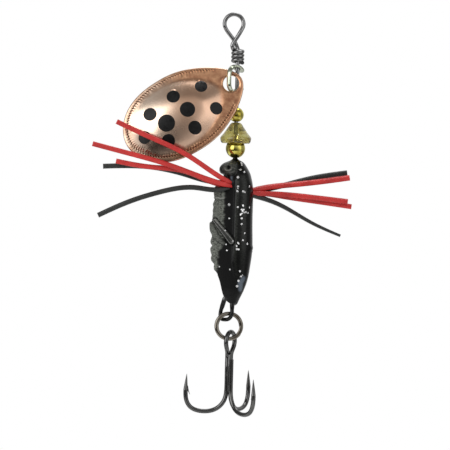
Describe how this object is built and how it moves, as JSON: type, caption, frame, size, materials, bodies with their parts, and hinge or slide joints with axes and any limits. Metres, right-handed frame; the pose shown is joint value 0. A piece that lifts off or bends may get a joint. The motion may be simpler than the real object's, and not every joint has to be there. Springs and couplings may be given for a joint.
{
  "type": "inline spinner",
  "caption": "Inline spinner lure: wire shaft with line eye, clevis and dished spotted blade, bell and beads, insect body with rubber legs, split ring and treble hook.",
  "frame": {"origin": "on the shaft's axis, level with the middle of the line eye and inside the eye's opening", "axes": "+Z along the shaft, from the hook towards the line eye; +Y through the line eye, away from the front; +X to the right seen from the front"},
  "size_m": [0.0523, 0.0181, 0.0808],
  "materials": {
    "steel_wire": "drawn spring steel, bright grey; the tail loop is lacquered black",
    "nickel": "nickel plate, bright with soft wear",
    "copper": "polished copper with a darker brown rim, a fine stamped line and painted black dots",
    "gold_bead": "polished brass, mirror bright",
    "olive_bell": "clear olive-amber moulded bell",
    "black_enamel": "thick gloss black enamel with small white flecks",
    "red_rubber": "soft red silicone rubber, satin",
    "black_rubber": "soft black silicone rubber, satin",
    "ring_steel": "flat stainless wire, bright",
    "black_nickel": "black nickel plate, bright highlights"
  },
  "bodies": {
    "shaft": {"shaft_wire": "steel_wire", "insect_body": "black_enamel", "leg_red_1": "red_rubber", "leg_red_2": "red_rubber", "leg_red_3": "red_rubber", "leg_black_1": "black_rubber", "leg_black_2": "black_rubber"},
    "clevis": {"clevis": "nickel"},
    "blade": {"blade": "copper"},
    "upper_bead": {"upper_bead": "gold_bead"},
    "bell_bead": {"bell_bead": "olive_bell"},
    "lower_bead": {"lower_bead": "gold_bead"},
    "split_ring": {"split_ring": "ring_steel"},
    "treble_hook": {"double_hook": "black_nickel", "single_hook": "black_nickel"}
  },
  "joints": [
    {"name": "clevis_spin", "type": "hinge", "parent": "shaft", "child": "clevis", "pos_m": [0, 0, 0], "axis": [0, 0, 1], "continuous": true, "deforming": ["leg_red_1"]},
    {"name": "blade_flare", "type": "hinge", "parent": "clevis", "child": "blade", "pos_m": [-0.00096, -0.00144, -0.00952], "axis": [-0.832, 0.5548, 0], "range_deg": [-3, 80], "deforming": ["leg_red_1"]},
    {"name": "upper_bead_spin", "type": "hinge", "parent": "shaft", "child": "upper_bead", "pos_m": [0, 0, 0], "axis": [0, 0, 1], "continuous": true},
    {"name": "bell_bead_spin", "type": "hinge", "parent": "shaft", "child": "bell_bead", "pos_m": [0, 0, 0], "axis": [0, 0, 1], "continuous": true},
    {"name": "lower_bead_spin", "type": "hinge", "parent": "shaft", "child": "lower_bead", "pos_m": [0, 0, 0], "axis": [0, 0, 1], "continuous": true},
    {"name": "ring_swing", "type": "hinge", "parent": "shaft", "child": "split_ring", "pos_m": [-0.00043, 0.00001, -0.05741], "axis": [0.9848, 0.1736, 0], "range_deg": [-60, 15]},
    {"name": "hook_swing", "type": "hinge", "parent": "split_ring", "child": "treble_hook", "pos_m": [-0.00043, 0.00001, -0.05997], "axis": [-0.1736, 0.9848, 0], "range_deg": [-45, 45]}
  ]
}
